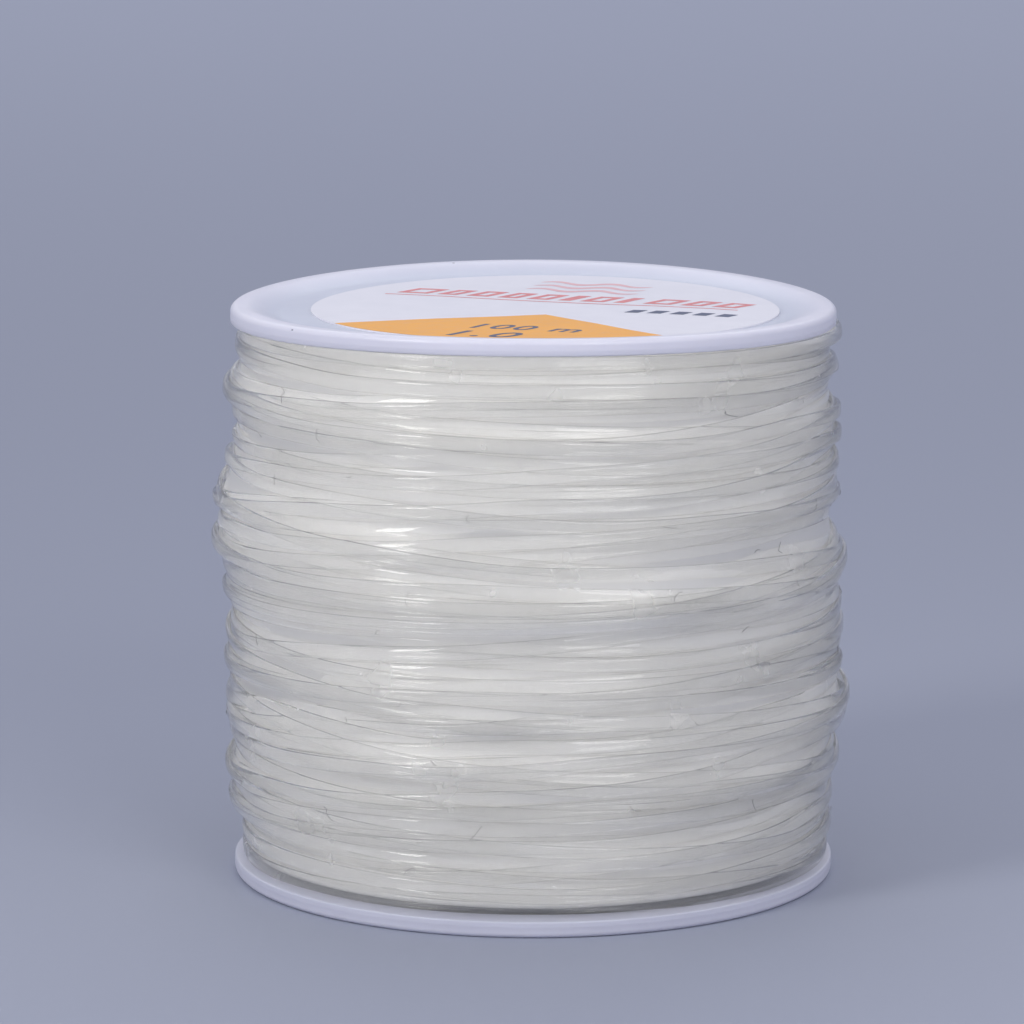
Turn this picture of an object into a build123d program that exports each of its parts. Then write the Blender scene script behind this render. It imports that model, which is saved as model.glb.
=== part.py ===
from build123d import *
import os

os.makedirs("parts", exist_ok=True)

# ---------------------------------------------------------------------------
# Driving dimensions, in millimetres.
# Z is the spool's axis. Z = 0 is the surface that the bottom rim stands on.
# ---------------------------------------------------------------------------
SPOOL_HEIGHT = 59.3
FLANGE_R = 31.0

# Flange: both are the same moulding. Depths run inwards from the rim's crest.
RIM_THICKNESS = 1.7
PLATE_DEPTH = 2.4            # depth of the hub land that the barrel is seated on
HUB_LAND_R = 18.0
CREST_INNER_R = 29.3         # inner edge of the flat land that the spool stands on
COVE_MID_R = 27.4
COVE_MID_DEPTH = 0.62
RECESS_R = 25.8
RECESS_DEPTH = 0.95
RIM_EDGE_FILLET = 0.6

# Spindle bore in the plate, and the collar that is pressed into the barrel.
BORE_R = 12.5
COLLAR_INNER_R = 13.5
COLLAR_LENGTH = 6.0
COLLAR_LEAD_IN = 0.5
PRESS_INTERFERENCE = 0.03

# Barrel
BARREL_OUTER_R = 16.5
BARREL_INNER_R = 15.0
ANCHOR_HOLE_R = 1.0
ANCHOR_Z = 12.0

# Line: a soft oval cord of about 1.4 by 0.8 mm, given here as a round of the same area.
LINE_R = 0.53
KNOT_R = 1.35
KNOT_LENGTH = 1.7
KNOT_WALL_GAP = 0.12
KNOT_FILLET = 0.6
LINE_TAIL_LENGTH = 5.0

# Winding: its outer shape swells between the flanges.
WINDING_GAP = 0.1            # clearance to the flanges and the barrel
WINDING_END_R = 30.3
WINDING_MID_R = 32.2
WINDING_CORNER_FILLET = 0.9

# Label
LABEL_R = 24.0
LABEL_THICKNESS = 0.15
LABEL_OFFSET_X = 1.2         # it is stuck on a little off centre
LABEL_OFFSET_Y = 0.4

MID_Z = SPOOL_HEIGHT / 2
BARREL_LENGTH = SPOOL_HEIGHT - 2 * PLATE_DEPTH
COLLAR_OUTER_R = BARREL_INNER_R + PRESS_INTERFERENCE


# ---------------------------------------------------------------------------
# Bottom flange: turned from one profile, from the bore out to the rim.
# ---------------------------------------------------------------------------
with BuildPart() as bottom_flange:
    with BuildSketch(Plane.XZ):
        with BuildLine():
            Polyline(
                (CREST_INNER_R, 0),
                (FLANGE_R, 0),
                (FLANGE_R, RIM_THICKNESS),
                (HUB_LAND_R, PLATE_DEPTH),
                (COLLAR_OUTER_R, PLATE_DEPTH),
                (COLLAR_OUTER_R, PLATE_DEPTH + COLLAR_LENGTH - COLLAR_LEAD_IN),
                (COLLAR_OUTER_R - COLLAR_LEAD_IN, PLATE_DEPTH + COLLAR_LENGTH),
                (COLLAR_INNER_R, PLATE_DEPTH + COLLAR_LENGTH),
                (COLLAR_INNER_R, PLATE_DEPTH),
                (BORE_R, PLATE_DEPTH),
                (BORE_R, RECESS_DEPTH),
                (RECESS_R, RECESS_DEPTH),
            )
            ThreePointArc(
                (RECESS_R, RECESS_DEPTH),
                (COVE_MID_R, COVE_MID_DEPTH),
                (CREST_INNER_R, 0),
            )
        make_face()
    revolve(axis=Axis.Z)
    rim_edges = bottom_flange.edges().filter_by(GeomType.CIRCLE).filter_by(
        lambda edge: abs(edge.radius - FLANGE_R) < 0.001
    )
    fillet(rim_edges, RIM_EDGE_FILLET)

bottom_flange.part.label = "bottom_flange"
export_step(bottom_flange.part, "parts/bottom_flange.step")


# ---------------------------------------------------------------------------
# Top flange: the same moulding, turned over at the other end of the barrel.
# ---------------------------------------------------------------------------
with BuildPart() as top_flange:
    add(bottom_flange.part.mirror(Plane.XY.offset(MID_Z)))

top_flange.part.label = "top_flange"
export_step(top_flange.part, "parts/top_flange.step")


# ---------------------------------------------------------------------------
# Barrel: the tube between the flanges, with one small hole for the line's start.
# ---------------------------------------------------------------------------
with BuildPart() as barrel:
    with BuildSketch(Plane.XY.offset(PLATE_DEPTH)):
        Circle(BARREL_OUTER_R)
        Circle(BARREL_INNER_R, mode=Mode.SUBTRACT)
    extrude(amount=BARREL_LENGTH)
    with BuildSketch(Plane.XZ):
        with Locations((0, ANCHOR_Z)):
            Circle(ANCHOR_HOLE_R)
    extrude(amount=-(BARREL_OUTER_R + 1), mode=Mode.SUBTRACT)

barrel.part.label = "barrel"
export_step(barrel.part, "parts/barrel.step")


# ---------------------------------------------------------------------------
# Line start: the first stretch of the line goes through the anchor hole and ends
# in a stopper knot that bears on the inside of the barrel, with a short tail.
# ---------------------------------------------------------------------------
KNOT_OUTER_Y = BARREL_INNER_R - KNOT_WALL_GAP
KNOT_CENTRE_Y = KNOT_OUTER_Y - KNOT_LENGTH / 2

with BuildPart() as line_start_knot:
    with BuildSketch(Plane.XZ.offset(-(KNOT_OUTER_Y - KNOT_LENGTH))):
        with Locations((0, ANCHOR_Z)):
            Circle(KNOT_R)
    extrude(amount=-KNOT_LENGTH)
    fillet(line_start_knot.edges().filter_by(GeomType.CIRCLE), KNOT_FILLET)
    with BuildSketch(Plane.XZ.offset(-KNOT_CENTRE_Y)):
        with Locations((0, ANCHOR_Z)):
            Circle(LINE_R)
    extrude(amount=-(BARREL_OUTER_R + WINDING_GAP / 2 - KNOT_CENTRE_Y))
    with BuildSketch(Plane.XY.offset(ANCHOR_Z)):
        with Locations((0, KNOT_CENTRE_Y)):
            Circle(LINE_R)
    extrude(amount=LINE_TAIL_LENGTH)

line_start_knot.part.label = "line_start_knot"
export_step(line_start_knot.part, "parts/line_start_knot.step")


# ---------------------------------------------------------------------------
# Winding: the outer shape of all the turns together. Its ends lie along the
# flanges' sloping inner faces, and its outside swells at mid height.
# ---------------------------------------------------------------------------
winding_inner_r = BARREL_OUTER_R + WINDING_GAP
flange_slope = (PLATE_DEPTH - RIM_THICKNESS) / (FLANGE_R - HUB_LAND_R)
winding_low_inner_z = PLATE_DEPTH + WINDING_GAP
winding_low_outer_z = RIM_THICKNESS + WINDING_GAP + flange_slope * (FLANGE_R - WINDING_END_R)

with BuildPart() as line_winding:
    with BuildSketch(Plane.XZ):
        with BuildLine():
            ThreePointArc(
                (WINDING_END_R, winding_low_outer_z),
                (WINDING_MID_R, MID_Z),
                (WINDING_END_R, SPOOL_HEIGHT - winding_low_outer_z),
            )
            Polyline(
                (WINDING_END_R, SPOOL_HEIGHT - winding_low_outer_z),
                (HUB_LAND_R, SPOOL_HEIGHT - winding_low_inner_z),
                (winding_inner_r, SPOOL_HEIGHT - winding_low_inner_z),
                (winding_inner_r, winding_low_inner_z),
                (HUB_LAND_R, winding_low_inner_z),
                (WINDING_END_R, winding_low_outer_z),
            )
        make_face()
    revolve(axis=Axis.Z)
    corner_edges = line_winding.edges().filter_by(GeomType.CIRCLE).filter_by(
        lambda edge: abs(edge.radius - WINDING_END_R) < 0.001
    )
    fillet(corner_edges, WINDING_CORNER_FILLET)

line_winding.part.label = "line_winding"
export_step(line_winding.part, "parts/line_winding.step")


# ---------------------------------------------------------------------------
# Label: a round of paper stuck to the recess of the top flange, over the bore.
# ---------------------------------------------------------------------------
with BuildPart() as top_label:
    with BuildSketch(Plane.XY.offset(SPOOL_HEIGHT - RECESS_DEPTH)):
        with Locations((LABEL_OFFSET_X, LABEL_OFFSET_Y)):
            Circle(LABEL_R)
    extrude(amount=LABEL_THICKNESS)

top_label.part.label = "top_label"
export_step(top_label.part, "parts/top_label.step")
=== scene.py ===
import math

import bmesh
import bpy
import numpy as np
from mathutils import Euler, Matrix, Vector


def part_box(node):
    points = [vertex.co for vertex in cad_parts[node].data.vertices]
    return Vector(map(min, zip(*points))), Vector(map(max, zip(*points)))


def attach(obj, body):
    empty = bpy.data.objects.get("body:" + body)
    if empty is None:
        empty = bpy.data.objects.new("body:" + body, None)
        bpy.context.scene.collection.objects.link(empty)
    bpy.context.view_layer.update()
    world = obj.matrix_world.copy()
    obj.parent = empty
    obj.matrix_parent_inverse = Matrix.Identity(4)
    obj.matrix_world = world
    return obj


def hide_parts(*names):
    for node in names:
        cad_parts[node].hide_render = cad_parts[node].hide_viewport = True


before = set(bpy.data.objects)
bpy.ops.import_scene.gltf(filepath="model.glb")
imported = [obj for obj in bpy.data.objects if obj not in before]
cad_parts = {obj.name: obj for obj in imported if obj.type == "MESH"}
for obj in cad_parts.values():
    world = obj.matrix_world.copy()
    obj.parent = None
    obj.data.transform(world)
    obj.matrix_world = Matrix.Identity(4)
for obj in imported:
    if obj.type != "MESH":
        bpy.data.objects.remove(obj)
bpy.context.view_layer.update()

MM = 0.001

# ---------------------------------------------------------------------------
# Sizes, in metres. The axis of the spool is Z, and it stands on Z = 0.
# ---------------------------------------------------------------------------
SPOOL_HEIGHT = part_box("top_flange")[1].z
FLANGE_R = 31.0 * MM

# Flange moulding. Depths run inwards from the crest of the rim.
RIM_THICKNESS = 1.7 * MM
RIM_FILLET = 0.6 * MM
CREST_INNER_R = 29.3 * MM
CREST_SOFTENING = 0.5 * MM
COVE_POINTS = 22
COVE_CREST_SHARE = 0.45          # share of the cove's curve that meets the crest at a slope
RECESS_R = 25.8 * MM
RECESS_DEPTH = 0.95 * MM
PLATE_DEPTH = 2.4 * MM
HUB_LAND_R = 18.0 * MM
COLLAR_OUTER_R = 15.03 * MM
COLLAR_INNER_R = 13.5 * MM
COLLAR_DEPTH = 8.4 * MM
COLLAR_LEAD_IN = 0.5 * MM
BORE_R = 12.5 * MM
BORE_EDGE = 0.15 * MM
PARTING_LINE_DEPTH = 1.15 * MM
PARTING_LINE_HEIGHT = 0.015 * MM
PARTING_LINE_ABOVE = 0.09 * MM
PARTING_LINE_BELOW = 0.06 * MM
INNER_EDGE_FILLET = 0.2 * MM
# Radii over which the painted shade on the thin web inside the rim fades out.
COVE_SHADE_START_R, COVE_SHADE_END_R = 26.5 * MM, 29.6 * MM
FLOOR_POINTS = [(r * MM, RECESS_DEPTH) for r in (15.0, 18.0, 21.0, 24.0)]
INNER_FACE_POINTS = [(27.0 * MM, 1.915 * MM), (22.0 * MM, 2.185 * MM)]
FLANGE_SEGMENTS = 288
SHARP_ANGLE = math.radians(40)

# The thin top flange is a little warped: its front and back stand up, its sides hang.
WARP_SADDLE = 0.33 * MM
WARP_FRONT_LIFT = 0.20 * MM
WARP_RIGHT_DROP = 0.07 * MM
WARP_START_R = 17.0 * MM
WARP_POWER = 1.5

# Label
LABEL_R = 24.0 * MM
LABEL_X = 1.2 * MM
LABEL_Y = 0.4 * MM
LABEL_TURN = math.radians(-18)
LABEL_THICKNESS = 0.15 * MM
LABEL_SAG = 0.10 * MM
PRINT_LIFT = 0.012 * MM
PRINT_EDGE = 1.2 * MM
LABEL_Z = SPOOL_HEIGHT - RECESS_DEPTH

# The print's layout, in millimetres from the label's middle, with u to the right and v up.
CHEVRON_APEX = (1.4, -4.2)
CHEVRON_FALL = math.radians(35.5)
CHEVRON_MARGIN = 0.05
BOX_LEFT, BOX_FOOT, BOX_HEIGHT = -18.2, 5.9, 3.6
BOX_GAP = 1.0
BOX_STROKE = 0.75
BOX_SIDE_STROKE = BOX_STROKE * 1.05
BOX_SLANT = 0.35
BOX_WIDTHS = (3.4, 2.2, 2.4, 2.2, 2.4, 1.4, 2.6, 1.2, 0.0, 3.0, 2.4, 2.6)
RULE_LEFT, RULE_FOOT, RULE_WIDTH, RULE_HEIGHT = -19.0, 4.4, 38.2, 0.35
WAVE_ROWS = (12.6, 15.2, 17.8)
TICK_LEFT, TICK_FOOT, TICK_STEP, TICK_COUNT = 8.6, -0.6, 2.4, 5
TICK_WIDTH, TICK_HEIGHT, TICK_SLANT = 1.5, 2.0, 0.25
LENGTH_PLACE, LENGTH_SIZE = (-3.6, -15.9), 4.2
GAUGE_PLACE, GAUGE_SIZE = (-4.4, -21.8), 5.6

# ---------------------------------------------------------------------------
# Camera, light and stage
# ---------------------------------------------------------------------------
CAMERA_DISTANCE = 18.16 * FLANGE_R
CAMERA_HEIGHT = 4.483 * FLANGE_R
CAMERA_PITCH = math.radians(10.24)
CAMERA_YAW = math.radians(0.223)
CAMERA_LENS_MM = 195.1
SENSOR_WIDTH_MM = 36


def linked_object(name, data):
    """A new object in the scene, holding the given mesh, curve, camera or light."""
    made = bpy.data.objects.new(name, data)
    bpy.context.scene.collection.objects.link(made)
    return made


def make_camera():
    data = bpy.data.cameras.new("camera")
    data.lens = CAMERA_LENS_MM
    data.sensor_width = SENSOR_WIDTH_MM
    data.clip_start = 0.01
    data.clip_end = 20
    camera = linked_object("camera", data)
    camera.location = (0, -CAMERA_DISTANCE, CAMERA_HEIGHT)
    camera.rotation_euler = Euler((math.pi / 2 - CAMERA_PITCH, 0, CAMERA_YAW))
    bpy.context.scene.camera = camera


def area_light(name, azimuth, elevation, distance, size, power, colour, target, spread=180):
    """A soft light that faces its target. Azimuth 0 is in front, and positive is to the right.

    Angles are in degrees, distance and size in metres, and power in watts.
    """
    data = bpy.data.lights.new(name, "AREA")
    data.shape = "RECTANGLE"
    data.size, data.size_y = size
    data.energy = power
    data.color = colour
    data.spread = math.radians(spread)
    light = linked_object(name, data)
    a, e = math.radians(azimuth), math.radians(elevation)
    out = Vector((math.sin(a) * math.cos(e), -math.cos(a) * math.cos(e), math.sin(e)))
    light.location = Vector(target) + out * distance
    light.rotation_euler = out.to_track_quat("Z", "Y").to_euler()


def make_stage():
    """A pale floor that curves up into a backdrop on every side."""
    near_r, flat_r, top_r, rise, rings, around = 0.3, 1.3, 2.2, 0.4, 24, 96
    rows = [(near_r, 0.0), (flat_r, 0.0)]
    for i in range(1, rings + 1):
        t = i / rings * math.pi / 2
        rows.append((flat_r + (top_r - flat_r) * math.sin(t), rise * (1 - math.cos(t))))
    verts = [
        (r * math.cos(2 * math.pi * k / around), r * math.sin(2 * math.pi * k / around), z)
        for r, z in rows
        for k in range(around)
    ]
    verts.append((0, 0, 0))
    centre = len(verts) - 1
    faces = [(centre, k, (k + 1) % around) for k in range(around)]
    for i in range(len(rows) - 1):
        for k in range(around):
            a, b = i * around + k, i * around + (k + 1) % around
            faces.append((a, a + around, b + around, b))
    mesh = bpy.data.meshes.new("floor")
    mesh.from_pydata(verts, [], faces)
    mesh.shade_smooth()
    floor = linked_object("floor", mesh)
    material = bpy.data.materials.new("pale_floor")
    material.use_nodes = True
    shader = material.node_tree.nodes["Principled BSDF"]
    shader.inputs["Base Color"].default_value = (0.35, 0.375, 0.46, 1)
    shader.inputs["Roughness"].default_value = 0.75
    mesh.materials.append(material)


def make_light():
    world = bpy.data.worlds.new("studio")
    world.use_nodes = True
    sky = world.node_tree.nodes["Background"]
    sky.inputs["Color"].default_value = (0.82, 0.84, 0.98, 1)
    sky.inputs["Strength"].default_value = 0.64
    bpy.context.scene.world = world
    top_centre = (0, 0, SPOOL_HEIGHT)
    behind = (0, 1.1, 0)
    area_light(
        "key", azimuth=-50, elevation=28, distance=0.5, size=(0.13, 0.16), power=0.128,
        colour=(1.0, 0.985, 0.95), target=top_centre, spread=70,
    )
    area_light(
        "front", azimuth=26, elevation=26, distance=0.3, size=(0.16, 0.11), power=0.25,
        colour=(1.0, 0.985, 0.96), target=top_centre,
    )
    area_light(
        "back", azimuth=180, elevation=80, distance=0.9, size=(1.4, 0.9), power=4.2,
        colour=(0.97, 0.98, 1.0), target=behind,
    )
    bpy.context.scene.view_settings.view_transform = "Standard"


# ---------------------------------------------------------------------------
# Material helpers
# ---------------------------------------------------------------------------
def new_material(name):
    material = bpy.data.materials.new(name)
    material.use_nodes = True
    return material, material.node_tree, material.node_tree.nodes["Principled BSDF"]


def node(tree, kind, inputs=None, **settings):
    """A new node with the given input values and settings."""
    made = tree.nodes.new(kind)
    for key, value in settings.items():
        setattr(made, key, value)
    for key, value in (inputs or {}).items():
        made.inputs[key].default_value = value
    return made


def object_place(tree, stretch=(1, 1, 1)):
    """Object coordinates, stretched along each axis."""
    coordinates = node(tree, "ShaderNodeTexCoord")
    mapping = node(tree, "ShaderNodeMapping", {"Scale": stretch})
    tree.links.new(coordinates.outputs["Object"], mapping.inputs["Vector"])
    return mapping.outputs["Vector"]


def noise(tree, place, scale, detail=3.0, roughness=0.5):
    settings = {"Scale": scale, "Detail": detail, "Roughness": roughness}
    texture = node(tree, "ShaderNodeTexNoise", settings)
    tree.links.new(place, texture.inputs["Vector"])
    return texture.outputs["Fac"]


def ramp(tree, source, stops):
    """A colour ramp between two (position, colour) stops."""
    made = node(tree, "ShaderNodeValToRGB")
    for element, (position, colour) in zip(made.color_ramp.elements, stops):
        element.position = position
        element.color = (*colour, 1)
    tree.links.new(source, made.inputs["Fac"])
    return made.outputs["Color"]


def span(tree, source, low, high, out_low, out_high):
    """Source carried from the range low to high over to the range out_low to out_high."""
    settings = {"From Min": low, "From Max": high, "To Min": out_low, "To Max": out_high}
    made = node(tree, "ShaderNodeMapRange", settings)
    tree.links.new(source, made.inputs["Value"])
    return made.outputs["Result"]


def mix_colour(tree, share, first, second, blend="MIX"):
    """Mixes two colours; share, first and second are each a socket or a value."""
    made = node(tree, "ShaderNodeMix", data_type="RGBA", blend_type=blend)
    colour_a, colour_b = made.inputs[6], made.inputs[7]
    for socket, value in ((made.inputs["Factor"], share), (colour_a, first), (colour_b, second)):
        if isinstance(value, bpy.types.NodeSocket):
            tree.links.new(value, socket)
        elif isinstance(value, (int, float)):
            socket.default_value = value
        else:
            socket.default_value = (*value, 1)
    return made.outputs[2]


def specks(tree, place, scale, size, share):
    """1 inside a few tiny scattered grains, and 0 elsewhere. size is a share of the grain spacing."""
    cells = node(tree, "ShaderNodeTexVoronoi", {"Scale": scale})
    tree.links.new(place, cells.inputs["Vector"])
    pick = node(tree, "ShaderNodeSeparateColor")
    tree.links.new(cells.outputs["Color"], pick.inputs["Color"])
    near = node(tree, "ShaderNodeMath", {1: size}, operation="LESS_THAN")
    tree.links.new(cells.outputs["Distance"], near.inputs[0])
    kept = node(tree, "ShaderNodeMath", {1: share}, operation="LESS_THAN")
    tree.links.new(pick.outputs["Red"], kept.inputs[0])
    both = node(tree, "ShaderNodeMath", operation="MULTIPLY")
    tree.links.new(near.outputs[0], both.inputs[0])
    tree.links.new(kept.outputs[0], both.inputs[1])
    return both.outputs[0]


def bump(tree, height, strength, distance):
    made = node(tree, "ShaderNodeBump", {"Strength": strength, "Distance": distance})
    tree.links.new(height, made.inputs["Height"])
    return made.outputs["Normal"]


# ---------------------------------------------------------------------------
# Materials
# ---------------------------------------------------------------------------
def reel_plastic(name, dirty_with_cove_shade, shaded_under_line=False):
    """Milky white moulded polypropylene, satin and faintly mottled.

    Dirty plastic has dirt specks, and painted shade that darkens the thin web of the cove inside
    the rim. Plastic shaded under the line also has painted shade towards the face under the winding.
    """
    material, tree, shader = new_material(name)
    place = object_place(tree)
    cloud = noise(tree, place, 55, 4)
    colour = ramp(tree, cloud, [(0.3, (0.74, 0.735, 0.83)), (0.7, (0.79, 0.785, 0.875))])
    if shaded_under_line:
        # Painted shade: darker towards the face under the winding, in place of the winding's shadow
        # on it.
        parts = node(tree, "ShaderNodeSeparateXYZ")
        tree.links.new(place, parts.inputs["Vector"])
        under_line_shade = span(tree, parts.outputs["Z"], 0.0, RIM_THICKNESS, 0.1, 0.9)
        colour = mix_colour(tree, under_line_shade, colour, (0.70, 0.72, 0.75), "MULTIPLY")
    if dirty_with_cove_shade:
        # Painted shade: the thin web in the cove inside the rim is darkened and blued, as light goes
        # through it.
        reach = node(tree, "ShaderNodeVectorMath", operation="LENGTH")
        tree.links.new(object_place(tree, (1, 1, 0)), reach.inputs[0])
        painted_cove_shade = span(tree, reach.outputs["Value"], COVE_SHADE_START_R, COVE_SHADE_END_R, 0.85, 0.0)
        colour = mix_colour(tree, painted_cove_shade, colour, (0.76, 0.815, 0.85), "MULTIPLY")
        dirt = specks(tree, object_place(tree, (0.45, 0.45, 1)), 420, 0.035, 0.7)
        colour = mix_colour(tree, dirt, colour, (0.22, 0.22, 0.26))
    tree.links.new(colour, shader.inputs["Base Color"])
    smudges = noise(tree, place, 140, 5, 0.6)
    tree.links.new(span(tree, smudges, 0.3, 0.7, 0.30, 0.44), shader.inputs["Roughness"])
    grain = noise(tree, place, 900, 4, 0.6)
    tree.links.new(bump(tree, grain, 0.12, 0.0002), shader.inputs["Normal"])
    shader.inputs["Subsurface Weight"].default_value = 0.35
    shader.inputs["Subsurface Radius"].default_value = (0.9, 0.95, 1.0)
    shader.inputs["Subsurface Scale"].default_value = 0.0015
    shader.inputs["IOR"].default_value = 1.49
    return material


def line_plastic():
    """Clear soft line: glossy and see-through, with a little milkiness of its own."""
    material, tree, shader = new_material("clear_line")
    place = object_place(tree)
    cloud = noise(tree, place, 70, 3)
    colour = ramp(tree, cloud, [(0.3, (0.965, 0.965, 0.96)), (0.7, (0.985, 0.985, 0.98))])
    strand = node(tree, "ShaderNodeAttribute", attribute_name="strand_tone")
    tones = [(0.0, (0.96, 0.96, 0.96)), (1.0, (1.0, 1.0, 1.0))]
    strand_tone = ramp(tree, strand.outputs["Fac"], tones)
    colour = mix_colour(tree, 1.0, colour, strand_tone, "MULTIPLY")
    tree.links.new(colour, shader.inputs["Base Color"])
    gloss = noise(tree, place, 160, 3)
    tree.links.new(span(tree, gloss, 0.3, 0.7, 0.18, 0.28), shader.inputs["Roughness"])
    shader.inputs["Transmission Weight"].default_value = 0.95
    shader.inputs["Subsurface Weight"].default_value = 0.6
    shader.inputs["Subsurface Radius"].default_value = (1.0, 1.0, 0.98)
    shader.inputs["Subsurface Scale"].default_value = 0.001
    shader.inputs["IOR"].default_value = 1.09
    shader.inputs["Specular IOR Level"].default_value = 0.3
    shader.inputs["Coat Weight"].default_value = 0.8
    shader.inputs["Coat Roughness"].default_value = 0.04
    shader.inputs["Coat IOR"].default_value = 1.4
    return material


def line_core():
    """Many layers of clear line seen together: an even milky white."""
    material, tree, shader = new_material("line_core")
    place = object_place(tree, (1, 1, 9))
    cloud = noise(tree, place, 45, 4)
    colour = ramp(tree, cloud, [(0.3, (0.66, 0.655, 0.64)), (0.7, (0.70, 0.695, 0.68))])
    tree.links.new(colour, shader.inputs["Base Color"])
    tree.links.new(span(tree, cloud, 0.3, 0.7, 0.35, 0.5), shader.inputs["Roughness"])
    shader.inputs["Subsurface Weight"].default_value = 0.7
    shader.inputs["Subsurface Radius"].default_value = (1.0, 1.0, 0.97)
    shader.inputs["Subsurface Scale"].default_value = 0.002
    shader.inputs["IOR"].default_value = 1.45
    return material


def lint():
    """Dark household dust fibres."""
    material, tree, shader = new_material("lint")
    cloud = noise(tree, object_place(tree), 300, 2)
    colour = ramp(tree, cloud, [(0.3, (0.10, 0.10, 0.11)), (0.7, (0.24, 0.23, 0.22))])
    tree.links.new(colour, shader.inputs["Base Color"])
    shader.inputs["Roughness"].default_value = 0.8
    return material


def paper():
    """Coated white label paper, with a faint fibre mottle."""
    material, tree, shader = new_material("label_paper")
    place = object_place(tree)
    fibre = noise(tree, place, 420, 5, 0.65)
    colour = ramp(tree, fibre, [(0.3, (0.81, 0.805, 0.865)), (0.7, (0.845, 0.84, 0.895))])
    tree.links.new(colour, shader.inputs["Base Color"])
    tree.links.new(span(tree, fibre, 0.3, 0.7, 0.36, 0.46), shader.inputs["Roughness"])
    tree.links.new(bump(tree, fibre, 0.08, 0.0001), shader.inputs["Normal"])
    return material


def ink(name, light, dark):
    """Printed ink, with the slightly uneven cover of a cheap print."""
    material, tree, shader = new_material(name)
    place = object_place(tree)
    cover = noise(tree, place, 900, 4, 0.7)
    tree.links.new(ramp(tree, cover, [(0.35, dark), (0.65, light)]), shader.inputs["Base Color"])
    tree.links.new(span(tree, cover, 0.3, 0.7, 0.34, 0.46), shader.inputs["Roughness"])
    return material


# ---------------------------------------------------------------------------
# Mesh helpers
# ---------------------------------------------------------------------------
def mesh_object(name, verts, faces, material):
    mesh = bpy.data.meshes.new(name)
    mesh.from_pydata([tuple(v) for v in verts], [], [tuple(f) for f in faces])
    mesh.validate()
    mesh.shade_smooth()
    mesh.materials.append(material)
    return linked_object(name, mesh)


def arc(centre, radius, start, end, count=8):
    """Points on an arc in the (r, depth) plane, angles in degrees."""
    angles = [math.radians(a) for a in np.linspace(start, end, count)]
    return [(centre[0] + radius * math.cos(a), centre[1] + radius * math.sin(a)) for a in angles]


def mesh_from_curve(name, curve, material):
    """The filled or thickened shape of a curve or text, as a mesh."""
    holder = linked_object(name + "_curve", curve)
    bpy.context.view_layer.update()
    shaped = holder.evaluated_get(bpy.context.evaluated_depsgraph_get())
    mesh = bpy.data.meshes.new_from_object(shaped)
    bpy.data.objects.remove(holder)
    mesh.materials.clear()
    mesh.materials.append(material)
    return mesh


def warp(x, y):
    """How far the top flange stands above flat at (x, y)."""
    r = math.hypot(x, y)
    share = min(max((r - WARP_START_R) / (FLANGE_R - WARP_START_R), 0.0), 1.0)
    angle = math.atan2(y, x)
    lift = (-WARP_SADDLE * math.cos(2 * angle) - WARP_FRONT_LIFT * math.sin(angle)
            - WARP_RIGHT_DROP * math.cos(angle))
    return share ** WARP_POWER * lift


def flange_profile():
    """The flange's closed outline as (r, depth), from the bore over the recess and rim to the collar.

    FLOOR_POINTS and INNER_FACE_POINTS lie on straight runs, which can then follow the warp.
    """
    cove = []
    for t in np.linspace(0, 1, COVE_POINTS):
        sloped, smooth = t * (2 - t) * t, t * t * (3 - 2 * t)
        rise = COVE_CREST_SHARE * sloped + (1 - COVE_CREST_SHARE) * smooth
        cove.append((RECESS_R + (CREST_INNER_R - RECESS_R) * t, RECESS_DEPTH * (1 - rise)))
    outline = [(BORE_R, RECESS_DEPTH + BORE_EDGE), (BORE_R + BORE_EDGE, RECESS_DEPTH)]
    outline += FLOOR_POINTS
    outline += cove
    outline += [(CREST_INNER_R + CREST_SOFTENING, 0.0)]
    corner = FLANGE_R - RIM_FILLET
    outline += arc((corner, RIM_FILLET), RIM_FILLET, -90, 0)
    outline += [
        (FLANGE_R, PARTING_LINE_DEPTH - PARTING_LINE_ABOVE),
        (FLANGE_R + PARTING_LINE_HEIGHT, PARTING_LINE_DEPTH),
        (FLANGE_R, PARTING_LINE_DEPTH + PARTING_LINE_BELOW),
    ]
    inner_edge = (FLANGE_R - INNER_EDGE_FILLET, RIM_THICKNESS - INNER_EDGE_FILLET)
    outline += arc(inner_edge, INNER_EDGE_FILLET, 12, 90, 6)
    outline += INNER_FACE_POINTS
    outline += [
        (HUB_LAND_R, PLATE_DEPTH),
        (COLLAR_OUTER_R, PLATE_DEPTH),
        (COLLAR_OUTER_R, COLLAR_DEPTH - COLLAR_LEAD_IN),
        (COLLAR_OUTER_R - COLLAR_LEAD_IN, COLLAR_DEPTH),
        (COLLAR_INNER_R, COLLAR_DEPTH),
        (COLLAR_INNER_R, PLATE_DEPTH),
        (BORE_R, PLATE_DEPTH),
    ]
    return outline


def make_flange(name, material, top):
    outline = flange_profile()
    count = len(outline)
    verts, faces = [], []
    for k in range(FLANGE_SEGMENTS):
        angle = 2 * math.pi * k / FLANGE_SEGMENTS
        for r, depth in outline:
            x, y = r * math.cos(angle), r * math.sin(angle)
            z = SPOOL_HEIGHT - depth + warp(x, y) if top else depth
            verts.append((x, y, z))
    for k in range(FLANGE_SEGMENTS):
        after = (k + 1) % FLANGE_SEGMENTS
        for i in range(count):
            j = (i + 1) % count
            quad = (k * count + i, k * count + j, after * count + j, after * count + i)
            faces.append(quad if not top else quad[::-1])
    made = mesh_object(name, verts, faces, material)
    made.data.set_sharp_from_angle(angle=SHARP_ANGLE)
    return made


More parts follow.
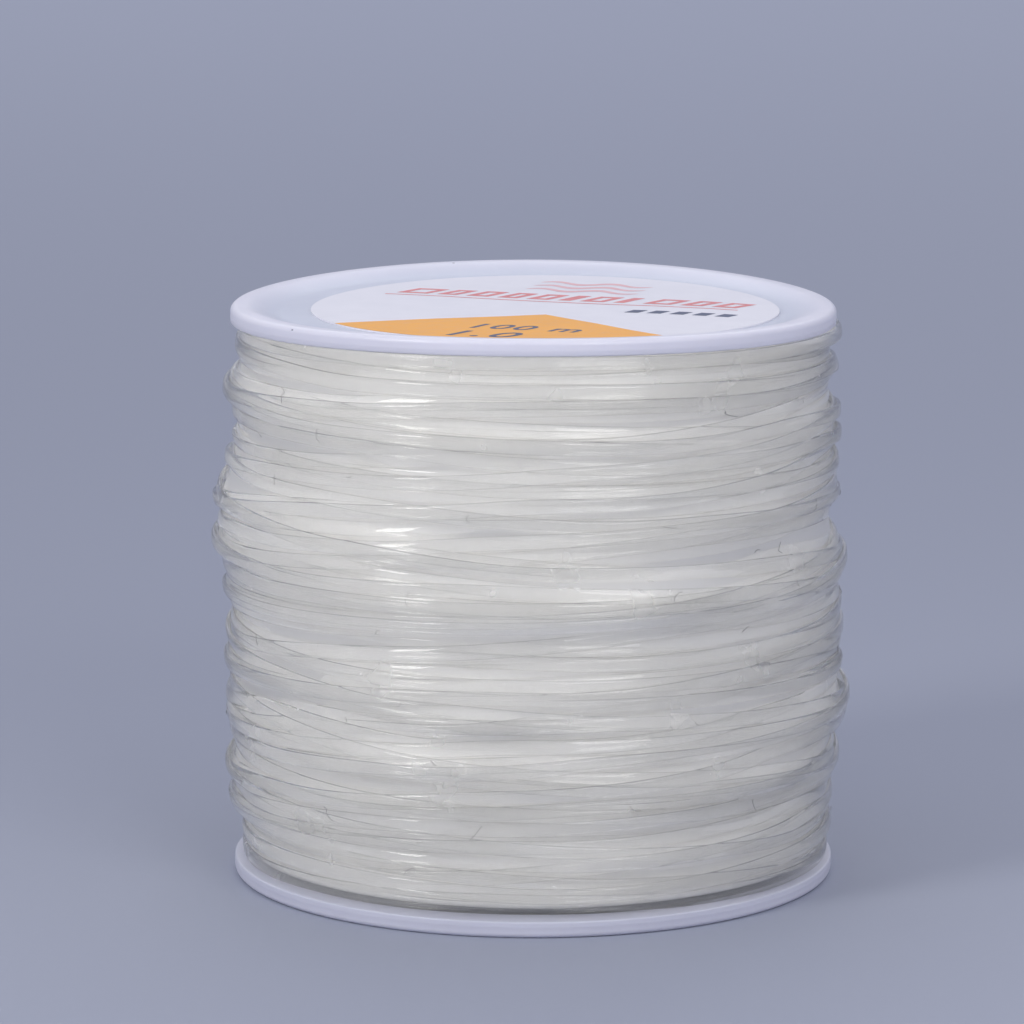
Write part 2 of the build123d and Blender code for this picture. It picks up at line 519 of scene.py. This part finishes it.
# ---------------------------------------------------------------------------
# Label and print
# ---------------------------------------------------------------------------
def on_label(u, v):
    """A point of the label's own layout, in metres, as a place in the frame."""
    x = LABEL_X + u * math.cos(LABEL_TURN) - v * math.sin(LABEL_TURN)
    y = LABEL_Y + u * math.sin(LABEL_TURN) + v * math.cos(LABEL_TURN)
    return x, y


def label_height(x, y):
    """The paper follows the recess, and sinks a little where the bore is open beneath it."""
    sag = LABEL_SAG * max(0.0, 1 - (math.hypot(x, y) / BORE_R) ** 2)
    return LABEL_Z + warp(x, y) - sag


def make_label(material):
    """The paper as a closed sheet: rings of its upper side, then of its lower side."""
    rings, around = 24, 192
    verts, faces = [], []
    for lift in (LABEL_THICKNESS, 0.0):
        for i in range(rings + 1):
            r = LABEL_R * i / rings
            for k in range(around):
                angle = 2 * math.pi * k / around
                x, y = on_label(r * math.cos(angle), r * math.sin(angle))
                verts.append((x, y, label_height(x, y) + lift))
    layer = (rings + 1) * around
    for side in (0, 1):
        for i in range(rings):
            for k in range(around):
                after = (k + 1) % around
                a = side * layer + i * around
                quad = [a + k, a + around + k, a + around + after, a + after]
                if i == 0:
                    quad = [a, a + around + k, a + around + after]
                faces.append(quad if side == 0 else quad[::-1])
    edge = rings * around
    for k in range(around):
        after = (k + 1) % around
        faces.append((edge + k, layer + edge + k, layer + edge + after, edge + after))
    made = mesh_object("label_sheet", verts, faces, material)
    made.data.set_sharp_from_angle(angle=SHARP_ANGLE)
    return made


def print_patch(name, outlines, material):
    """Flat printed shapes on the label, each a closed list of (u, v) points in millimetres."""
    curve = bpy.data.curves.new(name, "CURVE")
    curve.dimensions = "2D"
    curve.fill_mode = "BOTH"
    for outline in outlines:
        spline = curve.splines.new("POLY")
        spline.points.add(len(outline) - 1)
        for point, (u, v) in zip(spline.points, outline):
            point.co = (u * MM, v * MM, 0, 1)
        spline.use_cyclic_u = True
    return laid_on_label(name, curve, material)


def laid_on_label(name, curve, material, place=(0, 0), layer=1):
    """Turns a flat curve or text into a mesh and lays it on the label, over any lower layer."""
    mesh = mesh_from_curve(name, curve, material)
    refine(mesh)
    for vertex in mesh.vertices:
        x, y = on_label(vertex.co.x + place[0] * MM, vertex.co.y + place[1] * MM)
        vertex.co = (x, y, label_height(x, y) + LABEL_THICKNESS + layer * PRINT_LIFT)
    mesh.name = name
    return linked_object(name, mesh)


def refine(mesh, longest=PRINT_EDGE):
    """Splits long edges until the mesh can follow the paper."""
    work = bmesh.new()
    work.from_mesh(mesh)
    while True:
        bmesh.ops.triangulate(work, faces=work.faces[:])
        long_edges = [edge for edge in work.edges if edge.calc_length() > longest]
        if not long_edges:
            break
        bmesh.ops.subdivide_edges(work, edges=long_edges, cuts=1)
    work.to_mesh(mesh)
    work.free()


def slanted_bar(u, v, width, height, slant):
    """A bar that leans to the right by slant times its height."""
    lean = height * slant
    return [(u, v), (u + width, v), (u + width + lean, v + height), (u + lean, v + height)]


def chevron():
    """The wide roof-shaped field at the foot of the label, which ends on the label's edge."""
    apex, fall = CHEVRON_APEX, CHEVRON_FALL
    r = LABEL_R / MM - CHEVRON_MARGIN
    feet = []
    for side in (1, -1):
        across, down = side * math.cos(fall), -math.sin(fall)
        along = -(apex[0] * across + apex[1] * down)
        reach = along + math.sqrt(along ** 2 + r ** 2 - apex[0] ** 2 - apex[1] ** 2)
        feet.append(math.atan2(apex[1] + reach * down, apex[0] + reach * across))
    points = [apex]
    for angle in np.linspace(feet[0], feet[1], 40):
        points.append((r * math.cos(angle), r * math.sin(angle)))
    return points


def make_print():
    """The print, with generic shapes and plain quantities only."""
    coral = ink("coral_ink", (0.80, 0.24, 0.24), (0.70, 0.17, 0.18))
    pale_coral = ink("pale_coral_ink", (0.86, 0.52, 0.54), (0.80, 0.44, 0.47))
    orange = ink("orange_ink", (1.0, 0.45, 0.025), (0.95, 0.41, 0.02))
    navy = ink("navy_ink", (0.05, 0.075, 0.16), (0.03, 0.05, 0.12))
    made = [print_patch("print_field", [chevron()], orange)]
    made.append(print_patch("print_boxes", hollow_boxes(), coral))
    rule = slanted_bar(RULE_LEFT, RULE_FOOT, RULE_WIDTH, RULE_HEIGHT, 0)
    made.append(print_patch("print_rule", [rule], coral))
    made.append(print_patch("print_waves", [wave_band(v) for v in WAVE_ROWS], pale_coral))
    ticks = [
        slanted_bar(TICK_LEFT + TICK_STEP * k, TICK_FOOT, TICK_WIDTH, TICK_HEIGHT, TICK_SLANT)
        for k in range(TICK_COUNT)
    ]
    made.append(print_patch("print_ticks", ticks, navy))
    made.append(number("print_length", "100 m", LENGTH_SIZE, LENGTH_PLACE, navy))
    made.append(number("print_gauge", "1.0", GAUGE_SIZE, GAUGE_PLACE, navy))
    return made


def hollow_boxes():
    """A row of slanted boxes, as outlines with the outlines of their holes. Width 0 is a gap."""
    outlines, u = [], BOX_LEFT
    for width in BOX_WIDTHS:
        if width:
            outlines.append(slanted_bar(u, BOX_FOOT, width, BOX_HEIGHT, BOX_SLANT))
        if width > 2 * BOX_STROKE:
            hole = slanted_bar(
                u + BOX_SIDE_STROKE, BOX_FOOT + BOX_STROKE,
                width - 2 * BOX_SIDE_STROKE, BOX_HEIGHT - 2 * BOX_STROKE, BOX_SLANT,
            )
            outlines.append([(x + BOX_STROKE * BOX_SLANT, y) for x, y in hole])
        u += width + BOX_GAP
    return outlines


def wave_band(v, half_length=6.2, thickness=1.15, height=0.75, waves=2.0, blunt=0.02):
    """One printed wave, whose ends taper to a blunt tip."""
    upper, lower = [], []
    for t in np.linspace(-1, 1, 41):
        middle = v + height * math.sin(math.pi * waves * t)
        half = thickness * math.sqrt(max(1 - t * t, 0.0)) / 2
        upper.append((half_length * t, middle + half + blunt))
        lower.append((half_length * t, middle - half - blunt))
    return upper + lower[::-1]


def number(name, words, size, place, material):
    """A generic quantity in the plain built-in typeface."""
    text = bpy.data.curves.new(name, "FONT")
    text.body = words
    text.size = size * MM
    text.shear = 0.25
    text.offset = 0.07 * MM
    text.space_character = 1.15
    return laid_on_label(name, text, material, place, layer=2)


# ---------------------------------------------------------------------------
# Winding. The line is laid turn after turn on a grid of the surface built up so
# far, in millimetres: it slips sideways off its neighbours, is lifted where it
# crosses them, and runs straight over the hollows between.
# ---------------------------------------------------------------------------
HEIGHT = SPOOL_HEIGHT / MM

# Line
LINE_HALF_WIDTH = 0.74
LINE_HALF_THICKNESS = 0.26
LINE_SQUARENESS = 2.5            # the power in its rounded-square section; 2 would be an ellipse
LINE_SIDES = 12

# Grid and winding
TURNS = 200
STEPS_PER_TURN = 240
CELL = 0.1
WINDING_SEED = 38
WINDING_PIECES = 6
WINDING_START = math.pi / 2      # the angle of the hole in the barrel
Z_LOW, Z_HIGH = 2.62, HEIGHT - 2.5
FIRST_Z = 20.0
START_DEPTH = 3.5                # how far below the full outside the shown turns begin
NOMINAL_TURN_R = 31.0
STEP_LENGTH = 2 * math.pi * NOMINAL_TURN_R / STEPS_PER_TURN

# Outside of the full winding
OUTSIDE_END_R = 30.75
OUTSIDE_RISE = 1.25
OUTSIDE_END_Z = 2.0
SIDE_SPREAD = 0.8                # radians to each side over which the bulges fade
HIGH_LEFT = (1.3, 37.0, 7.0)     # bulges, each as its height over the rest, its Z and its spread
LOW_LEFT = (0.35, 14.0, 10.0)
LOW_RIGHT = (0.6, 18.0, 16.0)
LOOSE_TURN = (1.5, 56.9, 0.9)

# How the line travels up and down. Pitches are in millimetres per turn.
EVEN_SHARE, EASED_SHARE = 0.65, 0.35
RUN_PITCHES = (3.5, 6.0, 9.0, 13.0)
RUN_CHANCES = (0.30, 0.35, 0.23, 0.12)
RUN_PITCH_SPREAD = (0.8, 1.25)
DWELL_LENGTHS = (0.5, 2.5)
DWELL_PITCHES = (1.3, 2.2)
SHORTEST_RUN = STEPS_PER_TURN // 5
END_CHANCE = 0.06                # chance that a run goes right up to a flange
NEED_BLUR, NEED_SHARE, LEAST_NEED, NEED_POWER = 7, 0.9, 0.001, 10

# How the line settles
WANDER_SIZE, WANDER_STEP, WANDER_MARGIN, WANDER_BLUR = 0.25, 45, 4100, 14
SLIP_REACH = 4                   # cells to each side that are felt
SLIP_SLOPE, SLIP_RETURN, SLIP_LIMIT = 0.16, 0.03, 1.2
PEAK_SHARE, MEAN_SHARE = 0.45, 0.55
TILT_REACH = 6
TILT_LIMIT = 0.6
CORD_STIFFNESS = 2.2
SOFT_SHARE, TAUT_SHARE = 0.6, 0.4
LAID_SHARE = 0.92                # share of the line's own height that the surface gains
LAG_STEPS = 30                   # steps that are wound again with the next chunk

# Look of the finished turns
CENTRE_BLURS = (3.0, 3.0, 6.0)   # for height, radius and tilt
LEAN_SHARE = 0.6
TWIST_SIZE, TWIST_STEP, TWIST_BLUR = 0.10, 60, 15
WIDTH_SIZE, WIDTH_STEP, WIDTH_BLUR = 0.05, 130, 20
TONE_STEP, TONE_BLUR = 130, 30
LOOK_MARGIN = 400
WARP_FOLLOW_Z = 42.0

# Inner pack
PACK_DEPTH = 0.7
PACK_INNER_R = 16.6
PACK_LOW_Z, PACK_TOP_GAP = 2.7, 1.85
PACK_LEAST_DEPTH, PACK_LEAST_DEPTH_AT_TOP = 1.0, 0.5
PACK_BLUR, PACK_BLUR_ROUND, PACK_BLUR_REACH = 11, 2.0, 6
PACK_CELL_STEP = 3

# Start of the line
BARREL_OUTER_R = 16.5
KNOT_Y, KNOT_Z = 13.75, 12.0
KNOT_LINE_R = 0.42
KNOT_SCALE = (0.42, 0.34, 0.42)
KNOT_REACH = 2.05
KNOT_BLUR = 1.6
TAIL_END = (-0.9, KNOT_Y - 0.4, KNOT_Z + 4.2)

# Lint
LINT_COUNT = 60
LINT_END_GAP = 6.0
LINT_LENGTHS = (0.4, 1.9)
LINT_BEND = 0.6
LINT_POINTS = 8
LINT_REACH = 3
LINT_LIFT = 0.04
LINT_R = 0.028


def outer_radius(z):
    """The mean outside of the full winding at height z, which swells at mid height."""
    t = (z - HEIGHT / 2) / (HEIGHT / 2 - OUTSIDE_END_Z)
    return OUTSIDE_END_R + OUTSIDE_RISE * (1 - t * t)


def bulge(z, rise, middle, spread):
    return rise * np.exp(-((z - middle) / spread) ** 2)


def swell(angle, z):
    """Soft bulges of the finished winding, on its left and its right, and one loose turn."""
    left = np.exp(-(np.angle(np.exp(1j * (angle - math.pi))) / SIDE_SPREAD) ** 2)
    right = np.exp(-(np.angle(np.exp(1j * angle)) / SIDE_SPREAD) ** 2)
    on_left = bulge(z, *HIGH_LEFT) + bulge(z, *LOW_LEFT)
    return left * on_left + right * bulge(z, *LOW_RIGHT) + right ** 3 * bulge(z, *LOOSE_TURN)


def blurred(values, sigma):
    """A list of values, smoothed with a bell curve."""
    reach = int(3 * sigma) + 1
    kernel = np.exp(-0.5 * (np.arange(-reach, reach + 1) / sigma) ** 2)
    return np.convolve(np.pad(values, reach, mode="edge"), kernel / kernel.sum(), "valid")


def drift(draw, total, step, margin, sigma):
    """A slow random change over total steps. draw(n) gives the n values that it goes through."""
    knots = np.arange(0, total + margin, step)
    return blurred(np.interp(np.arange(total), knots, draw(len(knots))), sigma)


def eased(start, end, count):
    """A run from start to end that begins and ends a little slower."""
    t = np.arange(1, count + 1) / count
    return start + (end - start) * (EVEN_SHARE * t + EASED_SHARE * t * t * (3 - 2 * t))


def next_traverse(random, z, surface, target):
    gap = blurred((target - surface).mean(axis=0), NEED_BLUR)
    inner = np.arange(int(Z_LOW / CELL), int(Z_HIGH / CELL))
    need = np.clip(gap[inner] - gap[inner].min() * NEED_SHARE, LEAST_NEED, None) ** NEED_POWER
    goal = inner[random.choice(len(inner), p=need / need.sum())] * CELL
    if random.random() < END_CHANCE:
        goal = random.choice([Z_LOW, Z_HIGH, Z_HIGH])
    pitch = random.choice(RUN_PITCHES, p=RUN_CHANCES) * random.uniform(*RUN_PITCH_SPREAD)
    side = random.choice([-1, 1]) * random.uniform(*DWELL_LENGTHS)
    dwell = float(np.clip(goal + side, Z_LOW, Z_HIGH))
    runs = []
    for start, end, rise in ((z, goal, pitch), (goal, dwell, random.uniform(*DWELL_PITCHES))):
        steps = max(int(abs(end - start) / rise * STEPS_PER_TURN), SHORTEST_RUN)
        runs.append(eased(start, end, steps))
    return np.concatenate(runs)


def taut(place, height):
    """The lowest line over the given heights that a pulled cord round the spool can take."""
    place = place - place.mean()
    circle = CORD_STIFFNESS * place * place / (2 * NOMINAL_TURN_R)
    flat = height - circle
    hull = []
    for i in range(len(place)):
        while len(hull) >= 2:
            a, b = hull[-2], hull[-1]
            rise_to_b, rise_to_i = flat[b] - flat[a], flat[i] - flat[a]
            if rise_to_b * (place[i] - place[a]) > rise_to_i * (place[b] - place[a]):
                break
            hull.pop()
        hull.append(i)
    return np.interp(place, place[hull], flat[hull]) + circle


def wind_line():
    """The line's centre as arrays of height and radius, its tilt, and the built surface.

    Each chunk ends in a lag that the next chunk winds again, so that the pull carries over.
    """
    random = np.random.default_rng(WINDING_SEED)
    levels = np.arange(int(round(HEIGHT / CELL)) + 1) * CELL
    target = outer_radius(levels)
    surface = np.tile(target - START_DEPTH, (STEPS_PER_TURN, 1))
    total = TURNS * STEPS_PER_TURN
    wander = drift(
        lambda n: random.normal(0, WANDER_SIZE, n), total, WANDER_STEP, WANDER_MARGIN, WANDER_BLUR
    )
    half = int(LINE_HALF_WIDTH / CELL)
    offsets = np.arange(-half, half + 1)
    across = np.abs(offsets * CELL / LINE_HALF_WIDTH)
    section = LINE_HALF_THICKNESS * (1 - across ** LINE_SQUARENESS) ** (1 / LINE_SQUARENESS)
    z, contact, tilt, radius = (np.zeros(total) for _ in range(4))
    route = np.zeros(0)
    chunk = STEPS_PER_TURN - LAG_STEPS
    slip, slip_kept, last, done = 0.0, 0.0, FIRST_Z, 0
    while done < total:
        end = min(done + chunk + LAG_STEPS, total)
        while len(route) < end:
            route = np.concatenate([route, next_traverse(random, last, surface, target)])
            last = route[-1]
        slip = slip_kept
        for s in range(done, end):
            row = surface[s % STEPS_PER_TURN]
            aim = route[s] + wander[s]
            i = int(round(min(max(aim + slip, Z_LOW), Z_HIGH) / CELL))
            upper, lower = i + SLIP_REACH, i - SLIP_REACH
            above = (row[upper - half:upper + half + 1] + section).max()
            below = (row[lower - half:lower + half + 1] + section).max()
            slip += STEP_LENGTH * (-SLIP_SLOPE * (above - below) - SLIP_RETURN * slip)
            slip = max(-SLIP_LIMIT, min(SLIP_LIMIT, slip))
            z[s] = min(max(aim + slip, Z_LOW), Z_HIGH)
            if s == done + chunk - 1:
                slip_kept = slip
        first = max(0, done - 8)
        z[done:end] = blurred(z[first:end], 2.0)[done - first:]
        index = np.arange(done, end)
        rows = index % STEPS_PER_TURN
        cells = np.round(z[index] / CELL).astype(int)
        under = surface[rows[:, None], cells[:, None] + offsets[None, :]] + section
        contact[index] = PEAK_SHARE * under.max(axis=1) + MEAN_SHARE * under.mean(axis=1)
        rise = surface[rows, cells + TILT_REACH] - surface[rows, cells - TILT_REACH]
        tilt[index] = rise / (2 * TILT_REACH * CELL)
        first = max(0, done - LAG_STEPS)
        heights = np.concatenate([radius[first:done], contact[done:end]])
        pulled = taut(np.arange(first, end) * STEP_LENGTH, heights)
        ready = total if end == total else done + chunk
        radius[done:ready] = pulled[done - first:ready - first]
        first = max(0, done - 6)
        softened = blurred(radius[first:ready], 1.5)[done - first:]
        radius[done:ready] = SOFT_SHARE * softened + TAUT_SHARE * radius[done:ready]
        index = np.arange(done, ready)
        rows = index % STEPS_PER_TURN
        cells = np.round(z[index] / CELL).astype(int)
        for offset, rise in zip(offsets, section):
            laid = radius[index] + LAID_SHARE * rise
            surface[rows, cells + offset] = np.maximum(surface[rows, cells + offset], laid)
        done = ready
    return z, radius, blurred(np.clip(tilt, -TILT_LIMIT, TILT_LIMIT), 3.0), surface


def set_attribute(mesh, name, values):
    attribute = mesh.attributes.new(name, "FLOAT", "POINT")
    attribute.data.foreach_set("value", np.asarray(values, np.float32))


def tube(name, centre, across, outward, half_width, half_thickness, material, values, capped):
    """A pressed-flat line along centre, all in millimetres.

    values gives each point's attributes, and capped says which of the two ends are closed.
    """
    count = len(centre)
    angle = 2 * math.pi * np.arange(LINE_SIDES) / LINE_SIDES
    circle = (np.cos(angle), np.sin(angle))
    side, rise = (np.sign(v) * np.abs(v) ** (2 / LINE_SQUARENESS) for v in circle)
    ring = (side[None, :, None] * across[:, None, :] * half_width[:, None, None]
            + rise[None, :, None] * outward[:, None, :] * half_thickness[:, None, None])
    verts = (centre[:, None, :] + ring).reshape(-1, 3) * MM
    ends = np.array([centre[0], centre[-1]]) * MM
    verts = np.concatenate([verts, ends])
    k = np.arange(count - 1)[:, None] * LINE_SIDES
    a = k + np.arange(LINE_SIDES)[None, :]
    b = k + (np.arange(LINE_SIDES)[None, :] + 1) % LINE_SIDES
    quads = np.stack([a, b, b + LINE_SIDES, a + LINE_SIDES], axis=-1).reshape(-1, 4)
    first, last = count * LINE_SIDES, count * LINE_SIDES + 1
    start = np.arange(LINE_SIDES)
    after = (start + 1) % LINE_SIDES
    tail = (count - 1) * LINE_SIDES
    caps = np.array([
        np.stack([np.full(LINE_SIDES, first), after, start], axis=-1),
        np.stack([np.full(LINE_SIDES, last), start + tail, after + tail], axis=-1),
    ])[list(capped)].reshape(-1, 3)
    mesh = bpy.data.meshes.new(name)
    mesh.vertices.add(len(verts))
    mesh.vertices.foreach_set("co", verts.ravel())
    loops = np.concatenate([quads.ravel(), caps.ravel()])
    mesh.loops.add(len(loops))
    mesh.loops.foreach_set("vertex_index", loops.astype(np.int32))
    sizes = np.concatenate([np.full(len(quads), 4), np.full(len(caps), 3)])
    mesh.polygons.add(len(sizes))
    starts = np.concatenate([[0], np.cumsum(sizes)[:-1]])
    mesh.polygons.foreach_set("loop_start", starts.astype(np.int32))
    mesh.update(calc_edges=True)
    mesh.validate()
    mesh.shade_smooth()
    for key, per_ring in values.items():
        spread = np.concatenate([np.repeat(per_ring, LINE_SIDES), per_ring[[0, -1]]])
        set_attribute(mesh, key, spread)
    mesh.materials.append(material)
    return linked_object(name, mesh)


def top_follow(x, y, z):
    """How far the upper turns are raised at each place to lie along the warped flange."""
    share = np.clip((z - WARP_FOLLOW_Z) / (Z_HIGH - WARP_FOLLOW_Z), 0, 1) ** 2
    rise = np.array([warp(a * MM, b * MM) / MM for a, b in zip(x, y)])
    return share * rise


def make_winding(material, wound):
    """The outer turns of the line, cut into a few pieces along its length."""
    z, radius, tilt = (blurred(values, sigma) for values, sigma in zip(wound, CENTRE_BLURS))
    total = len(z)
    turn = WINDING_START + 2 * math.pi * np.arange(total) / STEPS_PER_TURN
    outward = np.stack([np.cos(turn), np.sin(turn), np.zeros(total)], axis=-1)
    centre = outward * (radius + swell(turn, z))[:, None]
    centre[:, 2] = z + top_follow(centre[:, 0], centre[:, 1], z)
    tangent = np.gradient(centre, axis=0)
    tangent /= np.linalg.norm(tangent, axis=1)[:, None]
    up = np.array([0.0, 0.0, 1.0])
    random = np.random.default_rng(WINDING_SEED + 1)
    twist = drift(
        lambda n: random.normal(0, TWIST_SIZE, n), total, TWIST_STEP, LOOK_MARGIN, TWIST_BLUR
    )
    lean = np.arctan(tilt) * LEAN_SHARE + twist
    normal = outward * np.cos(lean)[:, None] - up * np.sin(lean)[:, None]
    across = np.cross(normal, tangent)
    across /= np.linalg.norm(across, axis=1)[:, None]
    normal = np.cross(tangent, across)
    width = 1 + drift(
        lambda n: random.normal(0, WIDTH_SIZE, n), total, WIDTH_STEP, LOOK_MARGIN, WIDTH_BLUR
    )
    tone = np.clip(drift(random.random, total, TONE_STEP, LOOK_MARGIN, TONE_BLUR), 0, 1)
    made = []
    edges = np.linspace(0, TURNS, WINDING_PIECES + 1).astype(int) * STEPS_PER_TURN
    edges[-1] = total - 1
    for n in range(WINDING_PIECES):
        part = slice(edges[n], edges[n + 1] + 1)
        made.append(tube(
            f"line_turns_{n + 1}", centre[part], across[part], normal[part],
            LINE_HALF_WIDTH * width[part], LINE_HALF_THICKNESS / width[part], material,
            {"strand_tone": tone[part]}, (n == 0, n == WINDING_PIECES - 1),
        ))
    for piece in made:
        piece.visible_shadow = False
    return made


def make_start_knot(material):
    """The line's start: in through the hole in the barrel, an overhand knot, and a short tail."""
    t = np.linspace(-KNOT_REACH, KNOT_REACH, 90)
    knot = np.stack([
        KNOT_SCALE[0] * (t ** 3 - 3 * t),
        KNOT_Y + KNOT_SCALE[1] * (t ** 5 / 5 - 2 * t),
        KNOT_Z + KNOT_SCALE[2] * (t ** 4 - 4 * t ** 2 + 2),
    ], axis=-1)
    tail = np.linspace(TAIL_END, knot[0], 16)[:-1]
    feed = np.linspace(knot[-1], (0, BARREL_OUTER_R, KNOT_Z), 12)[1:]
    path = np.concatenate([tail, knot, feed])
    path = np.stack([blurred(column, KNOT_BLUR) for column in path.T], axis=-1)
    return round_line("line_start", [path], KNOT_LINE_R, material)


def round_line(name, paths, radius, material):
    """Round cords along the given paths, all in millimetres, as one mesh."""
    curve = bpy.data.curves.new(name, "CURVE")
    curve.dimensions = "3D"
    curve.bevel_depth = radius * MM
    curve.bevel_resolution = 4
    curve.use_fill_caps = True
    for path in paths:
        spline = curve.splines.new("POLY")
        spline.points.add(len(path) - 1)
        for point, place in zip(spline.points, path):
            point.co = (*(place * MM), 1)
    mesh = mesh_from_curve(name, curve, material)
    mesh.shade_smooth()
    return linked_object(name, mesh)


def make_lint(material, surface):
    """Fine short fibres and dust that cling to the line."""
    random = np.random.default_rng(WINDING_SEED + 2)
    paths = []
    for _ in range(LINT_COUNT):
        turn, z = random.uniform(0, 2 * math.pi), random.uniform(LINT_END_GAP, HEIGHT - LINT_END_GAP)
        heading, bend = random.uniform(0, math.pi), random.normal(0, LINT_BEND)
        length = random.uniform(*LINT_LENGTHS)
        path = []
        for t in np.linspace(-0.5, 0.5, LINT_POINTS):
            way = heading + bend * t
            turn_here = turn + length * t * math.cos(way) / NOMINAL_TURN_R
            z_here = z + length * t * math.sin(way)
            row = int(turn_here / (2 * math.pi) * STEPS_PER_TURN) % STEPS_PER_TURN
            cell = int(z_here / CELL)
            angle = WINDING_START + turn_here
            highest = surface[row, cell - LINT_REACH:cell + LINT_REACH + 1].max()
            r = highest + swell(angle, z_here) + LINT_LIFT
            x, y = r * math.cos(angle), r * math.sin(angle)
            path.append((x, y, z_here + top_follow([x], [y], z_here)[0]))
        paths.append(np.array(path))
    return round_line("line_lint", paths, LINT_R, material)


def make_inner_pack(material, surface):
    """The turns further in, as one body just under the outer strands.

    It shows through them and between them, and comes up above them in some hollows.
    """
    columns = surface.shape[1]
    levels = np.arange(columns) * CELL
    depth = np.where(levels > Z_HIGH, PACK_LEAST_DEPTH_AT_TOP, PACK_LEAST_DEPTH)
    full = np.maximum(surface, outer_radius(levels) - depth)
    smooth = np.stack([blurred(row, PACK_BLUR) for row in full])
    reach = PACK_BLUR_REACH
    wrapped = np.concatenate([smooth[-reach:], smooth, smooth[:reach]])
    kernel = np.exp(-0.5 * (np.arange(-reach, reach + 1) / PACK_BLUR_ROUND) ** 2)
    kernel /= kernel.sum()
    smooth = sum(k * wrapped[i:i + len(smooth)] for i, k in enumerate(kernel))
    top_cell = columns - int(PACK_TOP_GAP / CELL)
    cells = np.arange(int(PACK_LOW_Z / CELL), top_cell, PACK_CELL_STEP)
    count = len(cells) + 2
    verts, faces = [], []
    for k in range(STEPS_PER_TURN):
        angle = WINDING_START + 2 * math.pi * k / STEPS_PER_TURN
        outline = [(PACK_INNER_R, cells[0] * CELL)]
        outline += [(smooth[k, c] - PACK_DEPTH, c * CELL) for c in cells]
        outline += [(PACK_INNER_R, cells[-1] * CELL)]
        r, z = np.array(outline).T
        r = r + np.where(r > PACK_INNER_R, swell(angle, z), 0.0)
        x, y = r * math.cos(angle), r * math.sin(angle)
        verts += list(np.stack([x, y, z + top_follow(x, y, z)], axis=-1) * MM)
    for k in range(STEPS_PER_TURN):
        after = (k + 1) % STEPS_PER_TURN
        for i in range(count):
            j = (i + 1) % count
            faces.append((k * count + i, after * count + i, after * count + j, k * count + j))
    return mesh_object("line_inner_pack", verts, faces, material)


make_camera()
make_stage()
make_light()

plain_reel = reel_plastic("reel_plastic", dirty_with_cove_shade=False)
# The top flange: dirt specks, and painted shade in the cove inside the rim.
dirty_cove_shaded_reel = reel_plastic("reel_plastic_dirt_and_cove_shade", dirty_with_cove_shade=True)
# The bottom flange: dirt specks, painted shade in the cove, and painted shade under the winding.
under_shaded_reel = reel_plastic("reel_plastic_under_shade", dirty_with_cove_shade=True, shaded_under_line=True)
clear_line = line_plastic()

top = make_flange("flange_top", dirty_cove_shaded_reel, top=True)
bottom = make_flange("flange_bottom", under_shaded_reel, top=False)
label = make_label(paper())
prints = make_print()
wound = wind_line()
turns = make_winding(clear_line, wound)
pack = make_inner_pack(line_core(), wound[3])
start_knot = make_start_knot(clear_line)
fibres = make_lint(lint(), wound[3])

# The milky flange lets light through to the turns that touch it.
top.visible_shadow = False

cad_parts["barrel"].data.materials.clear()
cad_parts["barrel"].data.materials.append(plain_reel)

for piece in (top, bottom, label, pack, start_knot, fibres, *prints, *turns):
    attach(piece, "root")
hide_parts("top_flange")
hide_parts("bottom_flange")
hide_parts("top_label")
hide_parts("line_winding")
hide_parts("line_start_knot")
